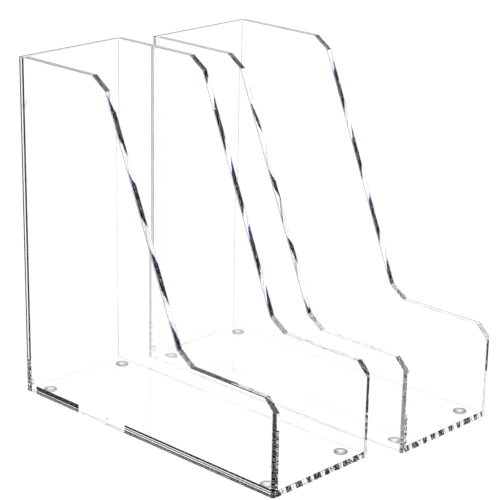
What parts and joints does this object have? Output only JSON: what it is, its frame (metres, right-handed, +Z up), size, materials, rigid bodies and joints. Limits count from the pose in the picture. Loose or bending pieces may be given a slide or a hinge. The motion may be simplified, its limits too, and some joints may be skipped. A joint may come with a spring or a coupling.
{
  "type": "magazine rack",
  "caption": "Matching clear acrylic magazine holders with open fronts, low-cut sides with bevelled corners, and clear bumper feet.",
  "frame": {"origin": "under the middle of the pair's bounding box, on the surface that the feet stand on", "axes": "+X towards the right-hand holder, +Y towards the backs of the holders, +Z up; the open fronts face -Y"},
  "size_m": [0.257, 0.323, 0.311],
  "materials": {
    "clear_acrylic": "clear, polished faces and edges",
    "clear_bumper": "clear, glossy",
    "clear_adhesive": "clear, slightly hazy"
  },
  "bodies": {
    "left_holder": {"left_holder_left_side": "clear_acrylic", "left_holder_right_side": "clear_acrylic", "left_holder_back": "clear_acrylic", "left_holder_base": "clear_acrylic", "left_holder_front_left_foot": "clear_bumper", "left_holder_front_right_foot": "clear_bumper", "left_holder_rear_left_foot": "clear_bumper", "left_holder_rear_right_foot": "clear_bumper", "left_holder_front_left_adhesive": "clear_adhesive", "left_holder_front_right_adhesive": "clear_adhesive", "left_holder_rear_left_adhesive": "clear_adhesive", "left_holder_rear_right_adhesive": "clear_adhesive"},
    "right_holder": {"right_holder_left_side": "clear_acrylic", "right_holder_right_side": "clear_acrylic", "right_holder_back": "clear_acrylic", "right_holder_base": "clear_acrylic", "right_holder_front_left_foot": "clear_bumper", "right_holder_front_right_foot": "clear_bumper", "right_holder_rear_left_foot": "clear_bumper", "right_holder_rear_right_foot": "clear_bumper", "right_holder_front_left_adhesive": "clear_adhesive", "right_holder_front_right_adhesive": "clear_adhesive", "right_holder_rear_left_adhesive": "clear_adhesive", "right_holder_rear_right_adhesive": "clear_adhesive"}
  },
  "joints": [
    {"name": "right_holder_spacing", "type": "slide", "parent": "left_holder", "child": "right_holder", "axis": [1, 0, 0], "range_m": [-0.022, 0.1]}
  ]
}
